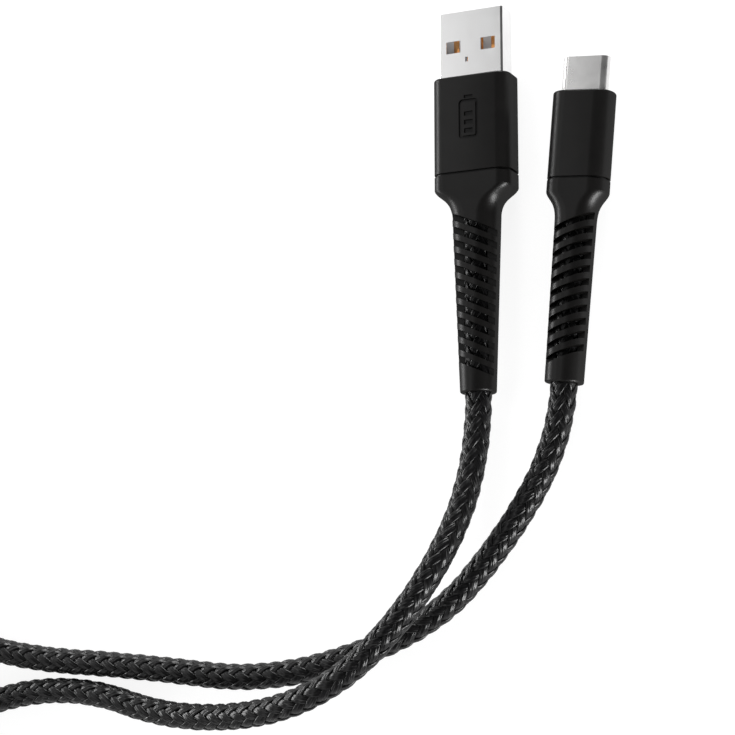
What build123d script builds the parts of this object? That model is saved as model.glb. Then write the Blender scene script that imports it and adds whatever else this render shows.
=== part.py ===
"""Charging cable: a USB-A plug and a USB-C plug on one braided cord, lying on a table.

Millimetres, +Z up. The origin is on the table, under the middle of the two plugs. Each plug is
drawn with its tip at y = 0 and its axis along Y, and stations are distances behind the tip.
"""

import math
import os

from build123d import *

# Cord
CORD = 4.6
CORD_R = CORD / 2
WIRE = 0.9
WIRE_ROW = (-1.41, -0.47, 0.47, 1.41)
WIRE_HOLE = 4.3
WIRE_NAMES = ("red", "white", "green", "black")

# USB-A plug: standard shell, moulded housing, slotted sleeve
A_SHELL = (12.0, 4.5, 0.45)
A_WALL = 0.3
A_SHELL_END = 18.6
A_TONGUE_START = 0.8
A_TONGUE_ROOT = 12.0
A_WINDOW = (2.65, 2.15)
A_WINDOW_SIDE = 3.2
A_WINDOW_STATION = 6.3
A_CONTACTS = ((-3.5, 1.3), (-1.0, 2.3), (1.0, 2.3), (3.5, 1.3))
A_CONTACT_WIDTH = 1.05
A_CONTACT_THICK = 0.25
A_TAIL_END = 20.8
A_SHIELD = (12.6, 5.1, 0.9)
A_SHIELD_START = 16.6
A_SHIELD_END = 26.0
A_RING = 2.3
A_HOUSING = (14.2, 7.05, 2.2)
A_HOUSING_START = 11.9
A_HOUSING_END = 28.95
A_MOULD = (13.3, 5.75, 1.9)
A_COLLAR_START = 29.4
A_FLARE_START = 31.7
A_SLEEVE_TOP = (8.5, 6.6, 3.15)
A_SLEEVE_MOUTH = (6.2, 6.2, 3.05)
A_END = 67.15
A_SLOTS = (12, 38.15, 2.215, -23.8)
A_AXIS_HEIGHT = A_HOUSING[1] / 2

# USB-C plug
C_SHELL = (8.25, 2.4, 1.19)
C_WALL = 0.25
C_SHELL_END = 10.0
C_CAVITY = (6.8, 1.1)
C_CAVITY_END = 5.75
C_NOSE_END = 9.0
C_CONTACT_COUNT = 12
C_CONTACT_PITCH = 0.5
C_CONTACT_WIDTH = 0.25
C_CONTACT_THICK = 0.15
C_CONTACT_START = 1.2
C_TAIL_END = 11.4
C_CARD = (7.4, 0.8)
C_CARD_START = 10.2
C_CARD_END = 16.2
C_PADS = (-2.4, -0.8, 0.8, 2.4)
C_SHIELD = (9.4, 4.2, 1.1)
C_SHIELD_WALL = 0.2
C_SHIELD_START = 9.0
C_SHIELD_END = 18.9
C_RING = 1.6
C_HOUSING = (10.9, 6.1, 2.9)
C_HOUSING_START = 6.25
C_HOUSING_END = 21.25
C_MOULD = (10.0, 4.9, 2.0)
C_COLLAR_START = 21.65
C_FLARE_START = 23.6
C_SLEEVE_TOP = (7.15, 5.9, 2.85)
C_SLEEVE_MOUTH = (6.6, 5.9, 2.9)
C_END = 56.1
C_SLOTS = (11, 29.2, 2.225, 22.0)
C_AXIS_HEIGHT = C_HOUSING[1] / 2

# Moulding details that both plugs share
CRIMP_OUTER = 5.2
CRIMP_GAP = 0.3
MOULD_COVER = 0.7
GROOVE_DEPTH = 0.4
SLOT_WIDTH = 1.1
SLOT_ROOF = 0.75
SLOT_FLOOR = -1.3
FLARE_LENGTH = 5.15
FLARE_SHARES = ((0.4, 0.07), (1.25, 0.38), (2.4, 0.76), (3.6, 0.94))
EDGE = 0.35

# Where the plugs lie, and how far each is turned
SPOT_A = Location((-8.79, A_END / 2, A_AXIS_HEIGHT), (0, 0, -0.3))
SPOT_C = Location((11.52, 22.82, C_AXIS_HEIGHT), (0, 0, -5.6))

# Put-away coil: 3.7 turns in two columns and two layers, held by a strap
COIL_CENTRE = (-152.0, -78.3)
COIL_MEAN_R = 23.1
COIL_OUTER_R = COIL_MEAN_R + CORD_R
JOIN_ANGLE = 50.0
TIE_THICK = 0.8
TIE_ARC = 14.0

# Cord routes between a short straight exit from each sleeve and the coil
EXIT_RUN_A = 13.4
EXIT_RUN_C = 10.0
ROUTE_A = (
    (-16.8, -68.7, 11.5),
    (-35.3, -85.2, 11.5),
    (-65.0, -88.3, 3.8),
    (-90.7, -80.35, 2.3),
    (-115.6, -85.4, 2.3),
)
ROUTE_C = (
    (-5.2, -58.6, 2.3),
    (-19.0, -72.9, 2.3),
    (-48.4, -81.5, 2.3),
    (-76.4, -77.8, 2.3),
    (-98.0, -76.25, 2.3),
    (-117.0, -71.5, 4.3),
)


def section(size, station):
    """A rounded rectangle across the plug's axis, facing the cord."""
    width, height, radius = size
    plane = Plane(origin=(0, -station, 0), x_dir=(1, 0, 0), z_dir=(0, -1, 0))
    if radius:
        return plane * RectangleRounded(width, height, radius)
    return plane * Rectangle(width, height)


def bar(size, start, end):
    return extrude(section(size, start), amount=end - start)


def block(width, height, start, end, x=0.0, z=0.0):
    return Pos(x, 0, z) * bar((width, height, 0), start, end)


def rod(diameter, start, end, x=0.0, z=0.0):
    plane = Plane(origin=(x, -start, z), x_dir=(1, 0, 0), z_dir=(0, -1, 0))
    return extrude(plane * Circle(diameter / 2), amount=end - start)


def inset(size, wall):
    width, height, radius = size
    return (width - 2 * wall, height - 2 * wall, max(radius - wall, 0.1))


def blend(first, last, share):
    return tuple(a + (b - a) * share for a, b in zip(first, last))


def front_edges(solid, station):
    plane_y = -station
    return [e for e in solid.edges() if abs(e.center().Y - plane_y) < 0.01]


def upper(solid):
    return split(solid, bisect_by=Plane.XY, keep=Keep.TOP)


def lower(solid):
    return split(solid, bisect_by=Plane.XY, keep=Keep.BOTTOM)


# ---------------------------------------------------------------- shared mouldings


def housing(size, start, end, cavity, cavity_end, shell, ring_end):
    """The soft outer moulding, hollow where the inner moulding and the crimp ring sit."""
    body = bar(size, start, end)
    body = fillet(front_edges(body, start), EDGE)
    body -= bar(shell, start, start + MOULD_COVER)
    body -= bar(cavity, start + MOULD_COVER, cavity_end)
    body -= rod(CRIMP_OUTER, cavity_end, ring_end)
    return body - rod(CORD, ring_end, end)


def inner_mould(size, start, shield, shield_start, shield_end, shell):
    body = bar(size, start, shield_end)
    body -= bar(shell, start, shield_start)
    return body - bar(shield, shield_start, shield_end)


def crimp_ring(start, end):
    ring = rod(CRIMP_OUTER, start, end) - rod(CORD, start, end)
    notch = block(0.3, 1.0, start, end, z=-CRIMP_OUTER / 2)
    return ring - notch


def sleeve_slots(slots, last_station):
    """Slanted cuts from above, and cuts half a pitch further on from below."""
    count, first, pitch, slant = slots
    cuts = []
    for index in range(count):
        station = first + index * pitch
        top = Pos(0, -station, SLOT_ROOF + 4) * Rot(0, 0, slant) * Box(14, SLOT_WIDTH, 8)
        cuts.append(top)
        below = station + pitch / 2
        if below + pitch < last_station:
            cut = Rot(0, 0, slant) * Box(14, SLOT_WIDTH, 8)
            cuts.append(Pos(0, -below, SLOT_FLOOR - 4) * cut)
    return cuts


def strain_relief(size, neck_start, collar_start, flare_start, top, mouth, end, slots):
    """Neck in the groove, collar, flare and slotted sleeve, moulded in one piece."""
    neck = bar(inset(size, GROOVE_DEPTH), neck_start, collar_start)
    collar = bar(size, collar_start, flare_start)
    shares = ((0.0, 0.0), *FLARE_SHARES, (FLARE_LENGTH, 1.0))
    rings = [section(blend(size, top, share), flare_start + at) for at, share in shares]
    flare = loft(rings)
    sleeve_start = flare_start + FLARE_LENGTH
    sleeve = loft([section(top, sleeve_start), section(mouth, end)])
    sleeve = fillet(front_edges(sleeve, end), EDGE)
    body = neck + collar + flare + sleeve
    body -= rod(CORD, neck_start, end)
    for cut in sleeve_slots(slots, end):
        body -= cut
    return body


def cord_end(shield_end, end):
    """The last straight stretch of cord, held inside the plug."""
    return rod(CORD, shield_end, end)


def wire(x_start, x_end, height, start, end):
    """One insulated conductor, from its solder joint to the cord."""
    bend = (end - start) / 3
    points = [(x_start, -start, height), (x_start, -start - bend, height)]
    points += [(x_end, -end + bend, height), (x_end, -end, height)]
    path = FilletPolyline(*points, radius=1.0)
    plane = Plane(origin=points[0], x_dir=(1, 0, 0), z_dir=(0, -1, 0))
    return sweep(plane * Circle(WIRE / 2), path=path)


# ---------------------------------------------------------------- USB-A plug


def a_shell():
    shell = bar(A_SHELL, 0, A_SHELL_END) - bar(inset(A_SHELL, A_WALL), 0, A_SHELL_END)
    width, length = A_WINDOW
    for side in (-1, 1):
        start = A_WINDOW_STATION - length / 2
        shell -= block(width, 8, start, start + length, x=side * A_WINDOW_SIDE)
    shell -= block(0.5, 2, 8.3, 9.15, x=-0.75, z=2.2)
    seam = block(0.12, 1, 0, A_SHELL_END, z=-A_SHELL[1] / 2)
    return shell - seam


def a_contact(x, start):
    return block(A_CONTACT_WIDTH, A_CONTACT_THICK, start, A_TAIL_END, x, -A_CONTACT_THICK / 2)


def a_contacts():
    return [a_contact(x, start) for x, start in A_CONTACTS]


def a_tongue():
    """The insulator: a tongue along the shell's floor and a full block behind it."""
    width, height, _ = inset(A_SHELL, A_WALL)
    tongue = block(width, height / 2, A_TONGUE_START, A_TONGUE_ROOT, z=-height / 4)
    tongue += bar(inset(A_SHELL, A_WALL), A_TONGUE_ROOT, A_SHELL_END)
    tongue &= bar(inset(A_SHELL, A_WALL), 0, A_SHELL_END)
    for x, start in A_CONTACTS:
        tongue -= a_contact(x, start)
    return tongue


def a_rear_shield():
    box = bar(A_SHIELD, A_SHIELD_START, A_SHIELD_END)
    box -= bar(A_SHELL, A_SHIELD_START, A_SHIELD_END - A_WALL)
    return box - rod(WIRE_HOLE, A_SHIELD_END - A_WALL, A_SHIELD_END)


def a_solder():
    start = A_SHELL_END + 0.4
    return [block(1.0, 1.1, start, A_TAIL_END, x, 0.55) for x, _ in A_CONTACTS]


def battery_mark(station):
    """A charging pictogram: battery outline, terminal and three level bars."""
    line = 0.5
    outline = Rectangle(3.6, 7.0)
    outline = fillet(outline.vertices(), 0.7)
    hollow = Rectangle(3.6 - 2 * line, 7.0 - 2 * line)
    hollow = fillet(hollow.vertices(), 0.3)
    mark = outline - hollow + Pos(0, 3.95) * Rectangle(1.6, 0.55)
    for level in (-2.1, -0.6, 0.9):
        mark += Pos(0, level) * Rectangle(1.6, 0.8)
    top = A_HOUSING[1] / 2
    return extrude(Pos(0, -station, top - 0.25) * mark, amount=1)


def a_housing():
    body = housing(
        A_HOUSING, A_HOUSING_START, A_HOUSING_END, A_MOULD, A_SHIELD_END, A_SHELL, A_SHIELD_END + A_RING
    )
    return body - battery_mark(19.8)


def a_pieces():
    mould_start = A_HOUSING_START + MOULD_COVER
    relief = strain_relief(
        A_HOUSING, A_HOUSING_END, A_COLLAR_START, A_FLARE_START, A_SLEEVE_TOP, A_SLEEVE_MOUTH, A_END, A_SLOTS
    )
    pieces = {
        "usb_a_shell": a_shell(),
        "usb_a_tongue": a_tongue(),
        "usb_a_contacts": a_contacts(),
        "usb_a_solder_joints": a_solder(),
        "usb_a_rear_shield_top": upper(a_rear_shield()),
        "usb_a_rear_shield_bottom": lower(a_rear_shield()),
        "usb_a_crimp_ring": crimp_ring(A_SHIELD_END, A_SHIELD_END + A_RING - CRIMP_GAP),
        "usb_a_inner_mould": inner_mould(
            A_MOULD, mould_start, A_SHIELD, A_SHIELD_START, A_SHIELD_END, A_SHELL
        ),
        "usb_a_housing": a_housing(),
        "usb_a_strain_relief": relief,
        "usb_a_cord_end": cord_end(A_SHIELD_END, A_END),
    }
    for name, (x, _), row in zip(WIRE_NAMES, A_CONTACTS, WIRE_ROW):
        pieces[f"usb_a_wire_{name}"] = wire(x, row, 0.6, A_TAIL_END, A_SHIELD_END)
    return pieces


# ---------------------------------------------------------------- USB-C plug


def c_shell():
    return bar(C_SHELL, 0, C_SHELL_END) - bar(inset(C_SHELL, C_WALL), 0, C_SHELL_END)


def c_contacts(side):
    """One row of spring contacts, above (1) or below (-1) the middle."""
    height = side * (C_CAVITY[1] - C_CONTACT_THICK) / 2
    first = -C_CONTACT_PITCH * (C_CONTACT_COUNT - 1) / 2
    row = [first + index * C_CONTACT_PITCH for index in range(C_CONTACT_COUNT)]
    size = (C_CONTACT_WIDTH, C_CONTACT_THICK, C_CONTACT_START, C_TAIL_END)
    return [block(*size, x, height) for x in row]


def c_latch_plate():
    """The plate between the rows, with a latch arm along each side of the mouth."""
    plate = block(6.6, 0.2, C_CAVITY_END, C_CARD_START)
    for side in (-1, 1):
        plate += block(0.2, 0.6, 1.0, C_CAVITY_END + 0.5, x=side * 3.2)
        plate += block(0.35, 0.5, 1.0, 1.7, x=side * 3.05)
    return plate


def c_ground_springs():
    height = (C_CAVITY[1] + 0.1) / 2
    return [block(5.4, 0.1, 0.35, 0.85, z=side * height) for side in (-1, 1)]


def c_insulator(start, end):
    """A slice of the moulded insert, cut around the contacts, the plate and the springs."""
    body = bar(inset(C_SHELL, C_WALL), start, end)
    for side in (-1, 1):
        for contact in c_contacts(side):
            body -= contact
    for spring in c_ground_springs():
        body -= spring
    return body - c_latch_plate()


def c_nose():
    nose = c_insulator(0.15, C_NOSE_END)
    return nose - block(*C_CAVITY, 0.15, C_CAVITY_END)


def c_card():
    return block(*C_CARD, C_CARD_START, C_CARD_END)


def c_solder():
    height = C_CARD[1] / 2 + 0.5
    return [block(1.0, 1.0, C_CARD_END - 1.6, C_CARD_END - 0.2, x, height) for x in C_PADS]


def c_resistor():
    return block(0.8, 0.35, 12.6, 14.0, x=1.6, z=-C_CARD[1] / 2 - 0.175)


def c_rear_shield():
    box = bar(C_SHIELD, C_SHIELD_START, C_SHIELD_END)
    inner_start = C_SHIELD_START + C_SHIELD_WALL
    inner_end = C_SHIELD_END - C_SHIELD_WALL
    box -= bar(inset(C_SHIELD, C_SHIELD_WALL), inner_start, inner_end)
    box -= bar(C_SHELL, C_SHIELD_START, inner_start)
    return box - rod(WIRE_HOLE, inner_end, C_SHIELD_END)


def c_pieces():
    mould_start = C_HOUSING_START + MOULD_COVER
    ring_end = C_SHIELD_END + C_RING
    relief = strain_relief(
        C_HOUSING, C_HOUSING_END, C_COLLAR_START, C_FLARE_START, C_SLEEVE_TOP, C_SLEEVE_MOUTH, C_END, C_SLOTS
    )
    pieces = {
        "usb_c_shell": c_shell(),
        "usb_c_nose": c_nose(),
        "usb_c_rear_insulator": c_insulator(C_NOSE_END, C_SHELL_END),
        "usb_c_contacts_upper": c_contacts(1),
        "usb_c_contacts_lower": c_contacts(-1),
        "usb_c_latch_plate": c_latch_plate(),
        "usb_c_ground_springs": c_ground_springs(),
        "usb_c_paddle_card": c_card(),
        "usb_c_resistor": c_resistor(),
        "usb_c_solder_joints": c_solder(),
        "usb_c_rear_shield_top": upper(c_rear_shield()),
        "usb_c_rear_shield_bottom": lower(c_rear_shield()),
        "usb_c_crimp_ring": crimp_ring(C_SHIELD_END, ring_end - CRIMP_GAP),
        "usb_c_inner_mould": inner_mould(
            C_MOULD, mould_start, C_SHIELD, C_SHIELD_START, C_SHIELD_END, C_SHELL
        ),
        "usb_c_housing": housing(
            C_HOUSING, C_HOUSING_START, C_HOUSING_END, C_MOULD, C_SHIELD_END, C_SHELL, ring_end
        ),
        "usb_c_strain_relief": relief,
        "usb_c_cord_end": cord_end(C_SHIELD_END, C_END),
    }
    height = C_CARD[1] / 2 + WIRE / 2 + 0.05
    for name, x, row in zip(WIRE_NAMES, C_PADS, WIRE_ROW):
        pieces[f"usb_c_wire_{name}"] = wire(x, row, height, C_CARD_END - 0.2, C_SHIELD_END)
    return pieces


# ---------------------------------------------------------------- free cord


def on_axis(spot, station):
    return tuple((spot * Pos(0, -station, 0)).position)


def coil_join(side, height):
    """Where a cord run becomes part of the coil's outer column."""
    angle = math.radians(side * JOIN_ANGLE)
    x = COIL_CENTRE[0] + COIL_OUTER_R * math.cos(angle)
    y = COIL_CENTRE[1] + COIL_OUTER_R * math.sin(angle)
    return (x, y, height)


def corner_radii(name, points):
    """As large an arc at each corner as its two runs allow."""
    radii = []
    for before, here, after in zip(points, points[1:], points[2:]):
        arriving = Vector(*here) - Vector(*before)
        leaving = Vector(*after) - Vector(*here)
        turn = arriving.get_angle(leaving)
        short = min(arriving.length, leaving.length)
        radius = 0.45 * short / math.tan(math.radians(turn / 2))
        radii.append(radius)
        print(name, "turn", round(turn, 1), "radius", round(radius, 1), "run", round(arriving.length, 1))
    print(name, "last run", round(leaving.length, 1))
    return radii


def cord_run(name, points):
    """A tube of straight runs joined by tangent arcs."""
    path = FilletPolyline(*points, radius=corner_radii(name, points))
    start = Vector(*points[0])
    plane = Plane(origin=start, z_dir=Vector(*points[1]) - start)
    tube = sweep(plane * Circle(CORD_R), path=path)
    expected = math.pi * CORD_R**2 * path.length
    print(name, "length", round(path.length, 1), "volume over expected", round(tube.volume / expected, 4))
    return tube


def ring_section(grow):
    """The coil's cross-section, two cords wide and two high, grown by a margin."""
    size = 2 * CORD + 2 * grow
    plane = Plane(origin=(COIL_MEAN_R, 0, CORD), x_dir=(1, 0, 0), z_dir=(0, -1, 0))
    return plane * RectangleRounded(size, size, CORD_R + grow)


def coil_and_tie():
    """The wound cord as one solid, and the strap around its far side."""
    ring = revolve(ring_section(0), axis=Axis.Z)
    outer = revolve(ring_section(TIE_THICK), axis=Axis.Z, revolution_arc=TIE_ARC)
    strap = Rot(0, 0, 180 - TIE_ARC / 2) * outer
    strap = split(strap, bisect_by=Plane.XY, keep=Keep.TOP)
    strap -= split(ring, bisect_by=Plane.XY.offset(TIE_THICK), keep=Keep.TOP)
    ring -= strap
    spot = Pos(COIL_CENTRE[0], COIL_CENTRE[1], 0)
    return spot * ring, spot * strap


def free_cord():
    exit_a = [on_axis(SPOT_A, A_END), on_axis(SPOT_A, A_END + EXIT_RUN_A)]
    exit_c = [on_axis(SPOT_C, C_END), on_axis(SPOT_C, C_END + EXIT_RUN_C)]
    route_a = [*exit_a, *ROUTE_A, coil_join(-1, CORD_R)]
    route_c = [*exit_c, *ROUTE_C, coil_join(1, CORD_R + CORD)]
    run_a = cord_run("cord_run_a", route_a)
    run_c = cord_run("cord_run_c", route_c)
    coil, tie = coil_and_tie()
    coil = coil - run_a - run_c
    return {"cord_run_a": run_a, "cord_run_c": run_c, "cord_coil": coil, "coil_tie": tie}


def save(name, shape, spot):
    if isinstance(shape, list):
        shape = Compound(children=shape)
    placed = spot * shape
    placed.label = name
    export_step(placed, f"parts/{name}.step")


def main():
    os.makedirs("parts", exist_ok=True)
    for spot, pieces in ((SPOT_A, a_pieces()), (SPOT_C, c_pieces())):
        for name, shape in pieces.items():
            save(name, shape, spot)
    for name, shape in free_cord().items():
        save(name, shape, Location())


main()
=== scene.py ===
import math

import bpy
import numpy as np
from mathutils import Matrix, Vector


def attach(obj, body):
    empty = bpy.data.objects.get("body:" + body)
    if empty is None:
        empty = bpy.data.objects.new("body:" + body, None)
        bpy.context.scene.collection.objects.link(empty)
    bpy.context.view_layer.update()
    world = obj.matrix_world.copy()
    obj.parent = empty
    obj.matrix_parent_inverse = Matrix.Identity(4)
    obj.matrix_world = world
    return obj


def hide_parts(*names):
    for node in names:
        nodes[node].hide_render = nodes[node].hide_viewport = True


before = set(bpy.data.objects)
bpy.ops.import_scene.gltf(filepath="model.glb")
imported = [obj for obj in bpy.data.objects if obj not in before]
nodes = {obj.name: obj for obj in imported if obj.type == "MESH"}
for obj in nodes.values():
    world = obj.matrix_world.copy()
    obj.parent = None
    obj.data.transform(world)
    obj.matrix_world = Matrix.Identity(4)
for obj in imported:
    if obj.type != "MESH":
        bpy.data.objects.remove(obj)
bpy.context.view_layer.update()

# The scene is in metres. Sizes and places below are in millimetres, except for the lights.
MM = 0.001
scene = bpy.context.scene

# ---------------------------------------------------------------- camera

CAMERA_TARGET = (-31.50, -26.76, 0.0)
CAMERA_AZIMUTH = 66.91
CAMERA_ELEVATION = 63.15
CAMERA_DISTANCE = 378.62
CAMERA_ROLL = -69.46
CAMERA_LENS = 105.57
SENSOR_WIDTH = 36


def make_camera():
    angles = (CAMERA_AZIMUTH, CAMERA_ELEVATION, CAMERA_ROLL)
    az, el, roll = map(math.radians, angles)
    back = Vector((math.sin(az) * math.cos(el), -math.cos(az) * math.cos(el), math.sin(el)))
    level = (-back).cross(Vector((0, 0, 1))).normalized()
    upright = level.cross(-back)
    right = level * math.cos(roll) + upright * math.sin(roll)
    up = upright * math.cos(roll) - level * math.sin(roll)
    data = bpy.data.cameras.new("camera")
    data.sensor_width = SENSOR_WIDTH
    data.lens = CAMERA_LENS
    data.clip_start = 0.01
    data.clip_end = 20
    camera = bpy.data.objects.new("camera", data)
    turn = Matrix((right, up, back)).transposed().to_4x4()
    place = (Vector(CAMERA_TARGET) + back * CAMERA_DISTANCE) * MM
    camera.matrix_world = Matrix.Translation(place) @ turn
    scene.collection.objects.link(camera)
    scene.camera = camera


make_camera()

# ---------------------------------------------------------------- cord route

CORD = 4.6
CORD_R = CORD / 2
EXIT_RUN_A = 13.4
EXIT_RUN_C = 10.0
MOUTH_A = Vector((-9.14, -33.57, 3.525))
AXIS_A = Vector((-0.00524, -0.99999, 0))
MOUTH_C = Vector((6.05, -33.01, 3.05))
AXIS_C = Vector((-0.09758, -0.99523, 0))
ROUTE_A = (
    (-16.8, -68.7, 11.5),
    (-35.3, -85.2, 11.5),
    (-65.0, -88.3, 3.8),
    (-90.7, -80.35, 2.3),
    (-115.6, -85.4, 2.3),
)
ROUTE_C = (
    (-5.2, -58.6, 2.3),
    (-19.0, -72.9, 2.3),
    (-48.4, -81.5, 2.3),
    (-76.4, -77.8, 2.3),
    (-98.0, -76.25, 2.3),
    (-117.0, -71.5, 4.3),
)
COIL_CENTRE = (-152.0, -78.3)
COIL_OUTER_R = 25.4
COIL_INNER_R = 20.8
JOIN_ANGLE = 50.0
COIL_STEPS = 60
COIL_DEGREES = 360 * 4 - 2 * JOIN_ANGLE
# Where the coil changes column or layer: the turn that starts it, and how much of a turn it takes
GO_IN = (0.62, 0.33)
GO_UP = (1.55, 0.35)
GO_OUT = (2.52, 0.33)
TIE_LIFT = 0.8
TIE_ANGLE = 180.0
TIE_LIFT_DEGREES = 34
ROUTE_DETAIL = 12


def smooth(share):
    share = min(max(share, 0.0), 1.0)
    return share * share * (3 - 2 * share)


def eased(turn, start, span):
    """0 before start, 1 after start + span, and smooth between them."""
    return smooth((turn - start) / span)


def coil_points():
    """Control points of the put-away turns: out, in, up, out again."""
    points = []
    for step in range(COIL_STEPS + 1):
        degrees = COIL_DEGREES * step / COIL_STEPS
        turn = degrees / 360
        angle = math.radians(-JOIN_ANGLE - degrees)
        inward = eased(turn, *GO_IN) - eased(turn, *GO_OUT)
        radius = COIL_OUTER_R + (COIL_INNER_R - COIL_OUTER_R) * inward
        height = CORD_R + CORD * eased(turn, *GO_UP)
        from_tie = math.degrees(angle) % 360 - TIE_ANGLE
        height += TIE_LIFT * math.exp(-((from_tie / TIE_LIFT_DEGREES) ** 2))
        stretch = 1 / math.cos(math.radians(COIL_DEGREES / COIL_STEPS / 2))
        x = COIL_CENTRE[0] + radius * stretch * math.cos(angle)
        y = COIL_CENTRE[1] + radius * stretch * math.sin(angle)
        points.append((x, y, height))
    return points


def cord_points():
    first = [tuple(MOUTH_A), tuple(MOUTH_A + AXIS_A * EXIT_RUN_A), *ROUTE_A]
    last = [tuple(MOUTH_C), tuple(MOUTH_C + AXIS_C * EXIT_RUN_C), *ROUTE_C]
    return [*first, *coil_points(), *reversed(last)]


def nurbs(name, points, detail):
    data = bpy.data.curves.new(name, "CURVE")
    data.dimensions = "3D"
    data.resolution_u = detail
    spline = data.splines.new("NURBS")
    spline.points.add(len(points) - 1)
    for spot, place in zip(spline.points, points):
        spot.co = (*(Vector(place) * MM), 1)
    spline.order_u = 3
    spline.use_endpoint_u = True
    obj = bpy.data.objects.new(name, data)
    scene.collection.objects.link(obj)
    return obj


def line_of(curve):
    """Points along the curve's own line, in metres."""
    bpy.context.view_layer.update()
    graph = bpy.context.evaluated_depsgraph_get()
    mesh = bpy.data.meshes.new_from_object(curve.evaluated_get(graph))
    line = np.array([v.co for v in mesh.vertices], float)
    bpy.data.meshes.remove(mesh)
    return line


def add_mesh(name, points, faces, lay=None):
    """A smooth mesh; lay gives each point a place across and along its strand, in mm."""
    mesh = bpy.data.meshes.new(name)
    mesh.vertices.add(len(points))
    mesh.vertices.foreach_set("co", np.asarray(points, np.float32).ravel())
    faces = np.asarray(faces, np.int32)
    mesh.loops.add(faces.size)
    mesh.loops.foreach_set("vertex_index", faces.ravel())
    mesh.polygons.add(len(faces))
    starts = np.arange(0, faces.size, faces.shape[1], dtype=np.int32)
    mesh.polygons.foreach_set("loop_start", starts)
    mesh.update(calc_edges=True)
    if lay is not None:
        spots = mesh.uv_layers.new(name="lay")
        lay = np.asarray(lay, np.float32)
        spots.data.foreach_set("uv", lay[faces.ravel()].ravel())
    mesh.validate()
    mesh.shade_smooth()
    obj = bpy.data.objects.new(name, mesh)
    scene.collection.objects.link(obj)
    return obj


def tube_faces(rings, around):
    """Quads of an open tube: rings of points, each joined to the next."""
    ring, spot = np.meshgrid(np.arange(rings - 1), np.arange(around), indexing="ij")
    near = ring * around + spot
    near_next = ring * around + (spot + 1) % around
    return np.stack([near, near + around, near_next + around, near_next], -1).reshape(-1, 4)


def carried_frames(line):
    """Two directions across the line at every point, turned as little as possible."""
    ahead = np.gradient(line, axis=0)
    ahead /= np.linalg.norm(ahead, axis=1)[:, None]
    across = np.zeros_like(line)
    side = np.cross(ahead[0], (0, 0, 1.0))
    for k, way in enumerate(ahead):
        side = side - way * side.dot(way)
        side /= np.linalg.norm(side)
        across[k] = side
    return across, np.cross(across, ahead)


def round_tube(name, line, radius, around=20):
    first, second = carried_frames(line)
    angle = np.linspace(0, 2 * np.pi, around, endpoint=False)[None, :, None]
    out = first[:, None] * np.cos(angle) + second[:, None] * np.sin(angle)
    points = line[:, None] + out * radius * MM
    return add_mesh(name, points.reshape(-1, 3), tube_faces(len(line), around))


CORE_RADIUS = 1.75
route = nurbs("cord_route", cord_points(), ROUTE_DETAIL)
cord_line = line_of(route)
bpy.data.objects.remove(route)
cord = round_tube("cord_core", cord_line, CORE_RADIUS)
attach(cord, "root")
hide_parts("cord_run_a", "cord_run_c", "cord_coil")

# ---------------------------------------------------------------- braided jacket

CARRIERS = 16
LAY = 22.0
STRAND_WIDTH = 1.34
STRAND_THICK = 0.64
OVER_R = 2.09
UNDER_R = 1.55
WIDTH_SWING = 0.18
# Slow unevenness of each strand: (size, rate along the cord in 1/mm, shift from strand to strand)
WOBBLES = ((0.05, 0.61, 2.1), (0.04, 0.23, 1))
STRAND_CROWN = 0.42
CROWN_REACH = 0.9
STRAND_BACK = ((0.7, -0.5), (0.0, -0.5), (-0.7, -0.5))
PLIES = 3
PLY_POINTS = 4
PLY_DEPTH = 0.09
PLY_ROUND = 0.7
PATTERN_SHIFT = 97.0
SAMPLE = 0.55
SHORTEST_STEP = 1e-7
IN_SLEEVE_A = 37.5
IN_SLEEVE_C = 33.0


def braid_line():
    """The cord's line, carried on straight into both sleeves, in even steps."""
    into_a = np.array(MOUTH_A - AXIS_A * IN_SLEEVE_A) * MM
    into_c = np.array(MOUTH_C - AXIS_C * IN_SLEEVE_C) * MM
    line = np.vstack([into_a, cord_line, into_c])
    runs = np.linalg.norm(np.diff(line, axis=0), axis=1)
    keep = np.concatenate([[True], runs > SHORTEST_STEP])
    line = line[keep]
    runs = np.linalg.norm(np.diff(line, axis=0), axis=1)
    at = np.concatenate([[0], np.cumsum(runs)])
    count = int(at[-1] / (SAMPLE * MM))
    even = np.linspace(0, at[-1], count + 1)
    return np.stack([np.interp(even, at, line[:, k]) for k in range(3)], 1), at[-1]


def strand_profile():
    """Offsets across the strand and heights above its middle: round plies on a flat back."""
    top = []
    for k in range(PLY_POINTS * PLIES + 1):
        u = -1 + 2 * k / (PLY_POINTS * PLIES)
        crown = STRAND_CROWN * math.sqrt(1 - (CROWN_REACH * u) ** 2)
        ply = PLY_DEPTH * abs(math.sin(math.pi * k / PLY_POINTS)) ** PLY_ROUND
        top.append((u, crown - PLY_DEPTH + ply))
    return [*top, *STRAND_BACK]


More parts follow.
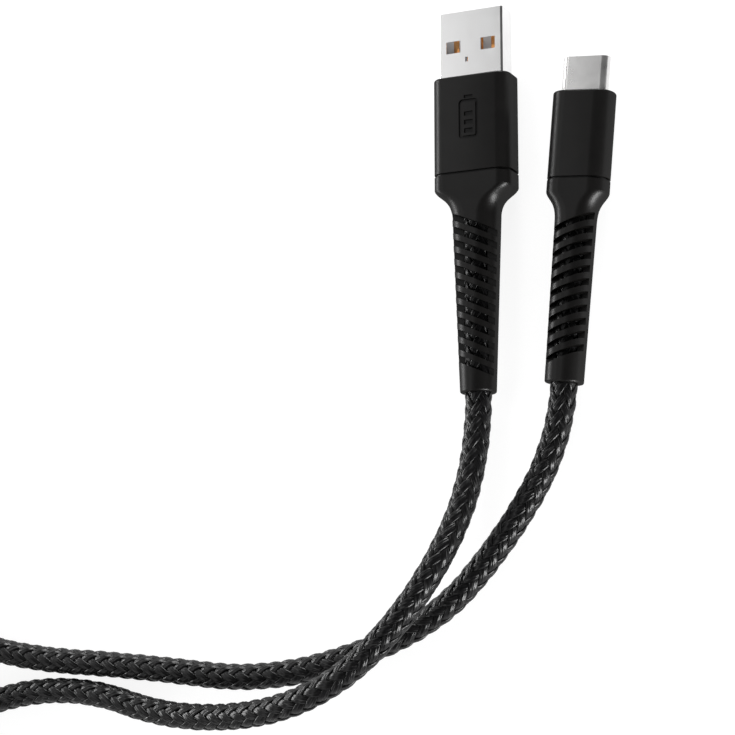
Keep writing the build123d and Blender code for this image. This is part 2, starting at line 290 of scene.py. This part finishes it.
def braid_strands():
    """Half the strands wind each way, two over and two under the others."""
    line, total = braid_line()
    first, second = carried_frames(line)
    station = np.linspace(0, total, len(line))
    profile = np.array(strand_profile())
    lean = math.atan(2 * math.pi * OVER_R / LAY)
    middles = (station[:-1] + station[1:]) / 2 / MM
    # Strand faces inside the sleeves take the second material, a darker and less glossy copy of
    # the braid: painted shade where the sleeves shade the cord.
    in_sleeve_painted_shade = (middles < IN_SLEEVE_A) | (middles > total / MM - IN_SLEEVE_C)
    painted_shade_material_index = np.repeat(in_sleeve_painted_shade, len(profile)).astype(np.int32)
    faces = tube_faces(len(line), len(profile))
    strands = []
    for index in range(CARRIERS):
        way = 1 if index % 2 else -1
        start = (index // 2) / (CARRIERS / 2)
        turns = way * station / (LAY * MM) + start
        column = turns * CARRIERS
        wave = np.cos(2 * np.pi * (column - 0.5) / 4) * (-way)
        wobble = sum(
            size * np.sin(station / MM * rate + shift * index) for size, rate, shift in WOBBLES
        )
        middle = (OVER_R + UNDER_R) / 2 + (OVER_R - UNDER_R) / 2 * wave + 0.5 * wobble
        width = STRAND_WIDTH / 2 * (1 + WIDTH_SWING * wave + wobble)
        u = profile[None, :, 0] * width[:, None]
        radius = middle[:, None] + profile[None, :, 1] * STRAND_THICK
        at = station[:, None] + u * math.sin(lean) * MM * -way
        around = 2 * np.pi * turns[:, None] + u * math.cos(lean) / middle[:, None]
        at = np.clip(at, 0, total)
        centre, one, two = (
            np.stack([np.interp(at, station, values[:, k]) for k in range(3)], -1)
            for values in (line, first, second)
        )
        out = one * np.cos(around)[..., None] + two * np.sin(around)[..., None]
        points = centre + out * radius[..., None] * MM
        along = np.broadcast_to(at / MM + PATTERN_SHIFT * index, u.shape)
        lay = np.stack([u, along], -1).reshape(-1, 2)
        strand = add_mesh(f"braid_strand_{index + 1:02d}", points.reshape(-1, 3), faces, lay)
        strand.data.polygons.foreach_set("material_index", painted_shade_material_index)
        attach(strand, "root")
        strands.append(strand)
    return strands


strands = braid_strands()

# ---------------------------------------------------------------- cord ends inside the plugs

STUB_A = 41.1
STUB_C = 37.0
STUB_STEPS = 12


def cord_stub(name, node, start, way, length):
    """The straight end of the cord inside a plug, under its braid."""
    line = np.array([start + way * length * k / STUB_STEPS for k in range(STUB_STEPS + 1)]) * MM
    stub = round_tube(name, line, CORE_RADIUS)
    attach(stub, "root")
    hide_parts(node)
    return stub


stub_a = cord_stub("cord_end_in_usb_a", "usb_a_cord_end", MOUTH_A, -AXIS_A, STUB_A)
stub_c = cord_stub("cord_end_in_usb_c", "usb_c_cord_end", MOUTH_C, -AXIS_C, STUB_C)

# ---------------------------------------------------------------- strap round the coil

STRAP_HALF_WIDTH = 2.9
STRAP_THICK = 0.75
STRAP_GAP = 0.1
STRAP_RIB = 0.06
STRAP_EDGE = 0.12
STRAP_SHRINK = 0.98
STRAP_FLOOR = 0.02
STRAP_SPOTS = 8
LAP_SPOTS = 10
CORNER_STEPS = 6


def strap():
    """A band right round the bundle, with ribs along it and an overlapping tail."""
    across = [k / STRAP_SPOTS for k in range(-STRAP_SPOTS, STRAP_SPOTS + 1)]
    inner = 2 * CORD_R + STRAP_GAP
    middle_r = (COIL_OUTER_R + COIL_INNER_R) / 2
    middle_z = CORD + TIE_LIFT
    corner = CORD_R
    flat = inner - corner
    loop = []
    corners = ((flat, flat), (-flat, flat), (-flat, -flat), (flat, -flat))
    for quarter, centre in enumerate(corners):
        for k in range(CORNER_STEPS + 1):
            loop.append((centre, math.radians(90 * quarter + 90 // CORNER_STEPS * k)))
    rings = [(centre, angle, 0.0) for centre, angle in loop]
    rings += [(*loop[lap], STRAP_THICK * smooth(lap / 2)) for lap in range(LAP_SPOTS)]
    points = []
    for (cx, cz), angle, lift in rings:
        for side in (1, -1):
            for share in across if side == 1 else reversed(across):
                rib = STRAP_RIB * math.cos(share * 8 * math.pi) if side == 1 else 0.0
                edge = STRAP_EDGE if abs(share) == 1 else 0.0
                grow = (STRAP_THICK - edge if side == 1 else edge) + rib + lift
                out = corner + grow * STRAP_SHRINK
                r = middle_r + cx + out * math.cos(angle)
                z = middle_z + cz + out * math.sin(angle)
                x = COIL_CENTRE[0] - r
                y = COIL_CENTRE[1] - share * STRAP_HALF_WIDTH
                points.append((x * MM, y * MM, max(z, STRAP_FLOOR) * MM))
    around = 2 * len(across)
    faces = tube_faces(len(rings), around)
    band = add_mesh("coil_strap", points, faces)
    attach(band, "root")
    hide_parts("coil_tie")
    return band


band = strap()

# ---------------------------------------------------------------- materials


class Recipe:
    """Builds one node material round a Principled shader."""

    def __init__(self, name, **plain):
        self.material = bpy.data.materials.new(name)
        self.material.use_nodes = True
        self.tree = self.material.node_tree
        self.shader = self.tree.nodes["Principled BSDF"]
        self.place = self.add("ShaderNodeTexCoord").outputs["Object"]
        for socket, value in plain.items():
            self.shader.inputs[socket.replace("_", " ")].default_value = value

    def add(self, kind, **settings):
        node = self.tree.nodes.new(kind)
        for key, value in settings.items():
            setattr(node, key, value)
        return node

    def link(self, source, target):
        self.tree.links.new(source, target)

    def noise(self, scale, detail=3.0, rough=0.55, squeeze=None, twist=0.0):
        """A noise value; squeeze gives the scale along each axis."""
        node = self.add("ShaderNodeTexNoise")
        node.inputs["Scale"].default_value = scale
        node.inputs["Detail"].default_value = detail
        node.inputs["Roughness"].default_value = rough
        node.inputs["Distortion"].default_value = twist
        place = self.place
        if squeeze:
            shift = self.add("ShaderNodeMapping")
            shift.inputs["Scale"].default_value = squeeze
            self.link(place, shift.inputs["Vector"])
            place = shift.outputs["Vector"]
        self.link(place, node.inputs["Vector"])
        return node.outputs["Fac"]

    def ramp(self, value, *stops):
        """A colour ramp; each stop is (position, grey or colour)."""
        node = self.add("ShaderNodeValToRGB")
        band = node.color_ramp
        while len(band.elements) < len(stops):
            band.elements.new(0.5)
        for element, (position, shade) in zip(band.elements, stops):
            element.position = position
            grey = isinstance(shade, (int, float))
            element.color = (shade, shade, shade, 1) if grey else (*shade, 1)
        self.link(value, node.inputs["Fac"])
        return node.outputs["Color"]

    def bump(self, value, strength, depth_mm, under=None):
        node = self.add("ShaderNodeBump")
        node.inputs["Strength"].default_value = strength
        node.inputs["Distance"].default_value = depth_mm * MM
        self.link(value, node.inputs["Height"])
        if under:
            self.link(under, node.inputs["Normal"])
        return node.outputs["Normal"]

    def crown(self, middle_mm, half_mm, rise_mm):
        """A face that is slightly higher along its middle than at its long edges."""
        apart = self.add("ShaderNodeSeparateXYZ")
        self.link(self.place, apart.inputs["Vector"])
        share = self.add("ShaderNodeMapRange", clamp=False)
        share.inputs["From Min"].default_value = middle_mm * MM
        share.inputs["From Max"].default_value = (middle_mm + half_mm) * MM
        self.link(apart.outputs["X"], share.inputs["Value"])
        square = self.add("ShaderNodeMath", operation="MULTIPLY")
        self.link(share.outputs["Result"], square.inputs[0])
        self.link(share.outputs["Result"], square.inputs[1])
        node = self.add("ShaderNodeBump", invert=True)
        node.inputs["Distance"].default_value = rise_mm * MM
        self.link(square.outputs["Value"], node.inputs["Height"])
        return node.outputs["Normal"]

    def colour(self, value):
        self.link(value, self.shader.inputs["Base Color"])
        return self

    def rough(self, value):
        self.link(value, self.shader.inputs["Roughness"])
        return self

    def normal(self, value):
        self.link(value, self.shader.inputs["Normal"])
        if self.shader.inputs["Coat Weight"].default_value:
            self.link(value, self.shader.inputs["Coat Normal"])
        return self


def moulded(
    name, dark, light, rough, grain=0.25, depth=0.03, gloss=0.4, crown=None, **plain
):
    """Moulded plastic or rubber: mottled, fine grain, soft waviness, perhaps a crowned face."""
    recipe = Recipe(name, Specular_IOR_Level=gloss, **plain)
    recipe.colour(recipe.ramp(recipe.noise(350, 4), (0.3, dark), (0.7, light)))
    recipe.rough(recipe.ramp(recipe.noise(900, 5), (0.3, rough - 0.05), (0.72, rough + 0.06)))
    under = recipe.crown(*crown) if crown else None
    wave = recipe.bump(recipe.noise(160, 2), 0.25, 0.04, under)
    recipe.normal(recipe.bump(recipe.noise(5200, 3), grain, depth, wave))
    return recipe.material


def plated(name, dark, light, rough, squeeze, lines=0.25, depth=0.01, crown=None):
    """Metal with fine drawing lines along one way and smudges."""
    recipe = Recipe(name, Metallic=1.0)
    smudge = recipe.noise(260, 4, twist=0.4)
    recipe.colour(recipe.ramp(smudge, (0.3, dark), (0.7, light)))
    recipe.rough(recipe.ramp(recipe.noise(420, 5), (0.32, rough), (0.75, rough + 0.1)))
    under = recipe.crown(*crown) if crown else None
    recipe.normal(recipe.bump(recipe.noise(1, 4, squeeze=squeeze), lines, depth, under))
    return recipe.material


def fabric(name, dark, light, rough, scale):
    """Woven tape with a loop pile: mottled, with ribs along it and a rough nap."""
    recipe = Recipe(name, Specular_IOR_Level=0.2, Sheen_Weight=0.12, Sheen_Roughness=0.4)
    recipe.colour(recipe.ramp(recipe.noise(scale, 4, 0.65), (0.38, dark), (0.62, light)))
    recipe.rough(recipe.ramp(recipe.noise(scale / 2, 3), (0.3, rough - 0.06), (0.7, rough + 0.08)))
    nap = recipe.bump(recipe.noise(scale, 3, 0.7), 1.0, 0.35)
    recipe.normal(recipe.bump(recipe.noise(scale, 3, squeeze=(0.3, 2.2, 0.3)), 0.8, 0.12, nap))
    return recipe.material


def braid_nylon(name, pale, shine):
    """Black multifilament yarn: fine filaments along each strand, some of them paler."""
    coat = {"Coat_Weight": shine, "Coat_IOR": 2.1, "Coat_Roughness": 0.12}
    recipe = Recipe(name, Specular_IOR_Level=0.08, **coat)
    recipe.place = recipe.add("ShaderNodeUVMap", uv_map="lay").outputs["UV"]
    tone = recipe.noise(1, 3, 0.5, squeeze=(5.5, 0.45, 1))
    black, grey = (0.0020, 0.0020, 0.0022), (0.0060, 0.0059, 0.0061)
    recipe.colour(recipe.ramp(tone, (0.42, black), (0.60, grey), (0.73, (pale, pale, pale))))
    recipe.rough(recipe.ramp(recipe.noise(1, 3, squeeze=(2, 0.8, 1)), (0.3, 0.3), (0.7, 0.5)))
    recipe.normal(recipe.bump(recipe.noise(1, 3, 0.6, squeeze=(9, 0.35, 1)), 0.55, 0.05))
    return recipe.material


def paddle_board():
    """Green solder mask over woven board."""
    recipe = Recipe("paddle_board", Coat_Weight=0.3)
    dark, light = (0.01, 0.06, 0.03), (0.015, 0.1, 0.05)
    recipe.colour(recipe.ramp(recipe.noise(500, 3), (0.35, dark), (0.62, light)))
    recipe.rough(recipe.ramp(recipe.noise(800, 3), (0.3, 0.35), (0.7, 0.5)))
    recipe.normal(recipe.bump(recipe.noise(2600, 2, squeeze=(1, 0.2, 1)), 0.3, 0.03))
    return recipe.material


LENGTHWISE = (5200, 120, 5200)
# Crowned faces: middle in x, half width and rise at the edges, in mm
CROWN_A = (-8.9, 7.1, 0.42)
CROWN_C = (10.2, 5.4, 0.2)
CROWN_C_SHELL = (10.9, 3.6, 0.03)
nickel = plated(
    "bright_nickel", (0.83, 0.825, 0.825), (0.87, 0.87, 0.87), 0.12, LENGTHWISE, 0.06, 0.004
)
steel = plated(
    "brushed_steel",
    (0.66, 0.655, 0.65),
    (0.78, 0.775, 0.77),
    0.26,
    LENGTHWISE,
    0.12,
    0.006,
    CROWN_C_SHELL,
)
gold = plated("gold_plate", (0.80, 0.36, 0.12), (0.93, 0.52, 0.22), 0.2, LENGTHWISE)
tin = plated("tin_plate", (0.42, 0.42, 0.42), (0.58, 0.58, 0.59), 0.32, (1500, 1500, 1500))
spring = plated("spring_steel", (0.34, 0.34, 0.35), (0.5, 0.5, 0.51), 0.25, LENGTHWISE)
solder = plated(
    "solder_joint", (0.5, 0.5, 0.52), (0.72, 0.72, 0.74), 0.22, (900, 900, 900), 0.5, 0.05
)
HOUSING_SHADES = (0.0022, 0.0020, 0.0019), (0.0034, 0.0031, 0.0029)
SOFT_TOUCH = {"Coat_Weight": 0.12, "Coat_IOR": 2.4, "Coat_Roughness": 0.38}
HOUSING_FEEL = (0.5, 0.18, 0.02, 0.0)
housing_a = moulded("housing_black_a", *HOUSING_SHADES, *HOUSING_FEEL, CROWN_A, **SOFT_TOUCH)
housing_c = moulded("housing_black_c", *HOUSING_SHADES, *HOUSING_FEEL, CROWN_C, **SOFT_TOUCH)
rubber = moulded("sleeve_rubber", *HOUSING_SHADES, 0.5, 0.25, 0.03, 0.0, **SOFT_TOUCH)
resin = moulded("inner_mould_resin", (0.10, 0.10, 0.09), (0.16, 0.15, 0.14), 0.5)
grey_insert = moulded("insulator_grey", (0.42, 0.42, 0.43), (0.52, 0.52, 0.53), 0.45)
black_insert = moulded("insulator_black", (0.012, 0.012, 0.012), (0.03, 0.03, 0.03), 0.45)
resistor_body = moulded("resistor_body", (0.015, 0.015, 0.018), (0.04, 0.04, 0.045), 0.35)
tie_fabric = fabric("tie_fabric", (0.003, 0.003, 0.0035), (0.022, 0.022, 0.024), 0.7, 1500)
wires = {
    "red": moulded("wire_red", (0.42, 0.02, 0.015), (0.58, 0.04, 0.03), 0.38),
    "white": moulded("wire_white", (0.66, 0.65, 0.62), (0.8, 0.79, 0.77), 0.38),
    "green": moulded("wire_green", (0.02, 0.25, 0.06), (0.04, 0.38, 0.1), 0.38),
    "black": moulded("wire_black", (0.01, 0.01, 0.01), (0.03, 0.03, 0.03), 0.38),
}
braid = braid_nylon("braid_nylon", 0.06, 0.105)
# The same yarn with its paler filaments dimmed and less coat: painted shade for the braid inside
# the sleeves.
braid_painted_shade_in_sleeve = braid_nylon("braid_painted_shade_in_sleeve", 0.012, 0.04)
core_jacket = moulded(
    "core_jacket", (0.003, 0.003, 0.003), (0.006, 0.006, 0.006), 0.5, gloss=0.15
)

FINISHES = {
    "usb_a_shell": nickel,
    "usb_a_tongue": grey_insert,
    "usb_a_contacts": gold,
    "usb_c_shell": steel,
    "usb_c_nose": black_insert,
    "usb_c_rear_insulator": black_insert,
    "usb_c_contacts_upper": gold,
    "usb_c_contacts_lower": gold,
    "usb_c_latch_plate": spring,
    "usb_c_ground_springs": spring,
    "usb_c_paddle_card": paddle_board(),
    "usb_c_resistor": resistor_body,
}
for plug in ("usb_a", "usb_c"):
    FINISHES[f"{plug}_solder_joints"] = solder
    FINISHES[f"{plug}_rear_shield_top"] = tin
    FINISHES[f"{plug}_rear_shield_bottom"] = tin
    FINISHES[f"{plug}_crimp_ring"] = tin
    FINISHES[f"{plug}_inner_mould"] = resin
    FINISHES[f"{plug}_housing"] = housing_a if plug == "usb_a" else housing_c
    FINISHES[f"{plug}_strain_relief"] = rubber
    for shade, wire in wires.items():
        FINISHES[f"{plug}_wire_{shade}"] = wire


def dress(obj, material):
    if obj.material_slots:
        for slot in obj.material_slots:
            slot.material = material
    else:
        obj.data.materials.append(material)


for name, material in FINISHES.items():
    dress(nodes[name], material)
for obj in (cord, stub_a, stub_c):
    dress(obj, core_jacket)
for obj in strands:
    obj.data.materials.append(braid)
    # Second slot: the braid with painted shade, used on the lengths inside the sleeves.
    obj.data.materials.append(braid_painted_shade_in_sleeve)
dress(band, tie_fabric)

# ---------------------------------------------------------------- floor and light

FLOOR_HALF = 1.5
FLOOR_DROP = 0.0002
FLOOR_GLOW = 0.88
SOFT_SIDE = (-1.0, 0.0, 0.0)
# Brightness of the world towards the soft side: its two ends, then the stops between them
SKY_ENDS = ((0.0, 0.10), (1.0, 0.5))
SKY_BETWEEN = ((0.2, 0.11), (0.31, 0.32), (0.40, 1.2), (0.48, 2.1), (0.6, 0.45))
# Name, place, aim, size in metres and power in watts
SOFTBOXES = (
    ("rim_left", (-0.60, 0.06, 0.10), (-0.02, -0.04, 0), (0.6, 0.10), 4.0),
    ("rim_back", (0.04, 0.55, 0.15), (-0.06, -0.06, 0), (0.4, 0.22), 5.4),
    ("rim_right", (0.37, -0.36, 0.11), (0, -0.03, 0), (0.28, 0.20), 4.6),
)


def make_floor():
    h = FLOOR_HALF
    mesh = bpy.data.meshes.new("floor")
    mesh.from_pydata([(-h, -h, 0), (h, -h, 0), (h, h, 0), (-h, h, 0)], [], [(0, 1, 2, 3)])
    obj = bpy.data.objects.new("floor", mesh)
    obj.location.z = -FLOOR_DROP
    scene.collection.objects.link(obj)
    glow = {"Emission_Color": (1, 1, 1, 1), "Emission_Strength": FLOOR_GLOW}
    recipe = Recipe("white_table", **glow)
    recipe.colour(recipe.ramp(recipe.noise(3), (0.3, 0.19), (0.7, 0.21)))
    recipe.rough(recipe.ramp(recipe.noise(40), (0.3, 0.8), (0.7, 0.9)))
    obj.data.materials.append(recipe.material)


def softbox(name, place, aim, size, power):
    data = bpy.data.lights.new(name, "AREA")
    data.shape = "RECTANGLE"
    data.size, data.size_y = size
    data.energy = power
    light = bpy.data.objects.new(name, data)
    light.location = place
    light.rotation_mode = "QUATERNION"
    light.rotation_quaternion = (Vector(aim) - Vector(place)).to_track_quat("-Z", "Y")
    light.visible_camera = False
    scene.collection.objects.link(light)


def make_world():
    """White to the camera; to everything else, a bright band on one side of a dim studio."""
    world = bpy.data.worlds.new("studio")
    scene.world = world
    world.use_nodes = True
    tree = world.node_tree
    glow = tree.nodes["Background"]
    glow.inputs["Strength"].default_value = 1.0
    way = tree.nodes.new("ShaderNodeTexCoord")
    toward = tree.nodes.new("ShaderNodeVectorMath")
    toward.operation = "DOT_PRODUCT"
    toward.inputs[1].default_value = SOFT_SIDE
    band = tree.nodes.new("ShaderNodeValToRGB")
    for element, (position, shade) in zip(band.color_ramp.elements, SKY_ENDS):
        element.position = position
        element.color = (shade, shade, shade, 1)
    for position, shade in SKY_BETWEEN:
        band.color_ramp.elements.new(position).color = (shade, shade, shade, 1)
    seen = tree.nodes.new("ShaderNodeLightPath")
    mix = tree.nodes.new("ShaderNodeMix")
    mix.data_type = "RGBA"
    mix.inputs["B"].default_value = (1, 1, 1, 1)
    tree.links.new(way.outputs["Generated"], toward.inputs[0])
    tree.links.new(toward.outputs["Value"], band.inputs["Fac"])
    tree.links.new(seen.outputs["Is Camera Ray"], mix.inputs["Factor"])
    tree.links.new(band.outputs["Color"], mix.inputs["A"])
    tree.links.new(mix.outputs["Result"], glow.inputs["Color"])


make_floor()
make_world()
for box in SOFTBOXES:
    softbox(*box)
scene.view_settings.view_transform = "Standard"
